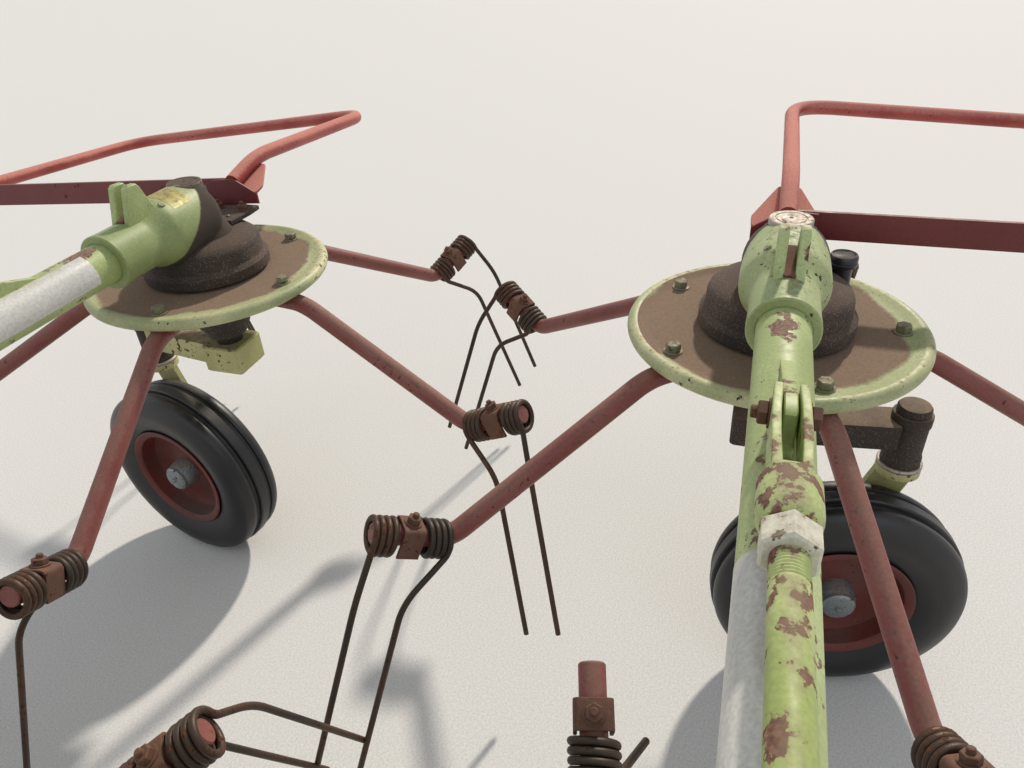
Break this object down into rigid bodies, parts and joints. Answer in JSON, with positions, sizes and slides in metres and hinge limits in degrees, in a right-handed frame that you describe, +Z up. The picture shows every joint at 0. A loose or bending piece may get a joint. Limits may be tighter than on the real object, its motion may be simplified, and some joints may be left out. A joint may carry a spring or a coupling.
{
  "type": "hay tedder",
  "caption": "Mounted rotary hay tedder with two folding outer arms, sprung double tines, domed rotor dishes, guard loops and swivelling support wheels.",
  "frame": {"origin": "on the ground under the middle of the parked machine's box", "axes": "+X forward along travel, +Y to the machine's left, +Z up"},
  "size_m": [2.8644, 2.5739, 1.2],
  "materials": {
    "green_paint": "faded light-green enamel, chipped and rusting",
    "pale_green_paint": "paler, chalky green enamel",
    "red_paint": "faded red enamel, worn to rust",
    "brown_dirt": "paint under dried dirt and old grease",
    "dark_iron": "dark, dirty cast iron",
    "spring_steel": "spring steel, browned by rust",
    "bare_steel": "worn bright steel, dull",
    "wheel_red": "dark red enamel, dusty",
    "tyre": "black ribbed rubber"
  },
  "bodies": {
    "frame": {"cross_beam": "green_paint", "centre_gearbox": "green_paint", "headstock": "green_paint", "hitch_pins": "bare_steel", "front_guards": "red_paint", "gearbox_inner_left": "green_paint", "axle_inner_left": "dark_iron", "gearbox_inner_right": "green_paint", "axle_inner_right": "dark_iron"},
    "input_shaft": {"input_shaft": "bare_steel"},
    "arm_left": {"fold_head_left": "green_paint", "arm_tube_left": "green_paint", "gearbox_outer_left": "green_paint", "limiter_left": "green_paint", "guard_outer_left": "red_paint", "axle_outer_left": "dark_iron"},
    "collar_left": {"collar_left": "dark_iron"},
    "arm_right": {"fold_head_right": "green_paint", "arm_tube_right": "green_paint", "gearbox_outer_right": "green_paint", "limiter_right": "green_paint", "guard_outer_right": "red_paint", "axle_outer_right": "dark_iron"},
    "collar_right": {"collar_right": "dark_iron"},
    "rotor_inner_left": {"dish_inner_left": "green_paint", "hub_inner_left": "dark_iron", "arms_inner_left": "red_paint", "tines_inner_left": "spring_steel"},
    "caster_inner_left": {"fork_inner_left": "pale_green_paint"},
    "wheel_inner_left": {"tyre_inner_left": "tyre", "rim_inner_left": "wheel_red"},
    "rotor_inner_right": {"dish_inner_right": "green_paint", "hub_inner_right": "dark_iron", "arms_inner_right": "red_paint", "tines_inner_right": "spring_steel"},
    "caster_inner_right": {"fork_inner_right": "pale_green_paint"},
    "wheel_inner_right": {"tyre_inner_right": "tyre", "rim_inner_right": "wheel_red"},
    "rotor_outer_left": {"dish_outer_left": "green_paint", "hub_outer_left": "dark_iron", "arms_outer_left": "red_paint", "tines_outer_left": "spring_steel"},
    "caster_outer_left": {"fork_outer_left": "pale_green_paint"},
    "wheel_outer_left": {"tyre_outer_left": "tyre", "rim_outer_left": "wheel_red"},
    "rotor_outer_right": {"dish_outer_right": "green_paint", "hub_outer_right": "dark_iron", "arms_outer_right": "red_paint", "tines_outer_right": "spring_steel"},
    "caster_outer_right": {"fork_outer_right": "pale_green_paint"},
    "wheel_outer_right": {"tyre_outer_right": "tyre", "rim_outer_right": "wheel_red"}
  },
  "joints": [
    {"name": "fold_left", "type": "hinge", "parent": "frame", "child": "arm_left", "pos_m": [0.482, 0.504, 0.782], "axis": [0, 0, -1], "range_deg": [0, 90]},
    {"name": "collar_turn_left", "type": "hinge", "parent": "arm_left", "child": "collar_left", "pos_m": [-0.673, 0.504, 0.55], "axis": [0, 0, -1], "range_deg": [-1, 91]},
    {"name": "fold_right", "type": "hinge", "parent": "frame", "child": "arm_right", "pos_m": [0.482, -0.504, 0.782], "axis": [0, 0, 1], "range_deg": [0, 90]},
    {"name": "collar_turn_right", "type": "hinge", "parent": "arm_right", "child": "collar_right", "pos_m": [-0.673, -0.504, 0.55], "axis": [0, 0, 1], "range_deg": [-1, 91]},
    {"name": "spin_inner_left", "type": "hinge", "parent": "frame", "child": "rotor_inner_left", "pos_m": [0.482, 0.504, 0.6], "axis": [0, 0, 1], "continuous": true},
    {"name": "spin_inner_right", "type": "hinge", "parent": "frame", "child": "rotor_inner_right", "pos_m": [0.482, -0.504, 0.6], "axis": [0, 0, 1], "continuous": true},
    {"name": "spin_outer_left", "type": "hinge", "parent": "collar_left", "child": "rotor_outer_left", "pos_m": [-0.673, 0.504, 0.6], "axis": [0, 0, 1], "continuous": true},
    {"name": "spin_outer_right", "type": "hinge", "parent": "collar_right", "child": "rotor_outer_right", "pos_m": [-0.673, -0.504, 0.6], "axis": [0, 0, 1], "continuous": true},
    {"name": "input_turn", "type": "hinge", "parent": "frame", "child": "input_shaft", "pos_m": [0.632, 0, 0.782], "axis": [1, 0, 0], "continuous": true},
    {"name": "caster_turn_inner_left", "type": "hinge", "parent": "frame", "child": "caster_inner_left", "pos_m": [0.707, 0.532, 0.48], "axis": [0, 0, 1], "range_deg": [-90, 90]},
    {"name": "roll_inner_left", "type": "hinge", "parent": "caster_inner_left", "child": "wheel_inner_left", "pos_m": [0.63, 0.469, 0.205], "axis": [0, 1, 0], "continuous": true},
    {"name": "caster_turn_inner_right", "type": "hinge", "parent": "frame", "child": "caster_inner_right", "pos_m": [0.707, -0.532, 0.48], "axis": [0, 0, 1], "range_deg": [-90, 90]},
    {"name": "roll_inner_right", "type": "hinge", "parent": "caster_inner_right", "child": "wheel_inner_right", "pos_m": [0.63, -0.469, 0.205], "axis": [0, -1, 0], "continuous": true},
    {"name": "caster_turn_outer_left", "type": "hinge", "parent": "arm_left", "child": "caster_outer_left", "pos_m": [-0.701, 0.729, 0.48], "axis": [0, 0, 1], "range_deg": [-90, 90]},
    {"name": "roll_outer_left", "type": "hinge", "parent": "caster_outer_left", "child": "wheel_outer_left", "pos_m": [-0.62627, 0.66332, 0.205], "axis": [-0.9866, -0.1633, 0], "continuous": true},
    {"name": "caster_turn_outer_right", "type": "hinge", "parent": "arm_right", "child": "caster_outer_right", "pos_m": [-0.701, -0.729, 0.48], "axis": [0, 0, 1], "range_deg": [-90, 90]},
    {"name": "roll_outer_right", "type": "hinge", "parent": "caster_outer_right", "child": "wheel_outer_right", "pos_m": [-0.62627, -0.66332, 0.205], "axis": [-0.9866, 0.1633, 0], "continuous": true}
  ],
  "couplings": [
    {"joint": "collar_turn_left", "follows": "fold_left", "ratio": 1},
    {"joint": "collar_turn_right", "follows": "fold_right", "ratio": 1},
    {"joint": "spin_inner_right", "follows": "spin_inner_left", "ratio": -1},
    {"joint": "spin_outer_left", "follows": "spin_inner_left", "ratio": -1},
    {"joint": "spin_outer_right", "follows": "spin_inner_left", "ratio": 1},
    {"joint": "input_turn", "follows": "spin_inner_left", "ratio": 3}
  ]
}
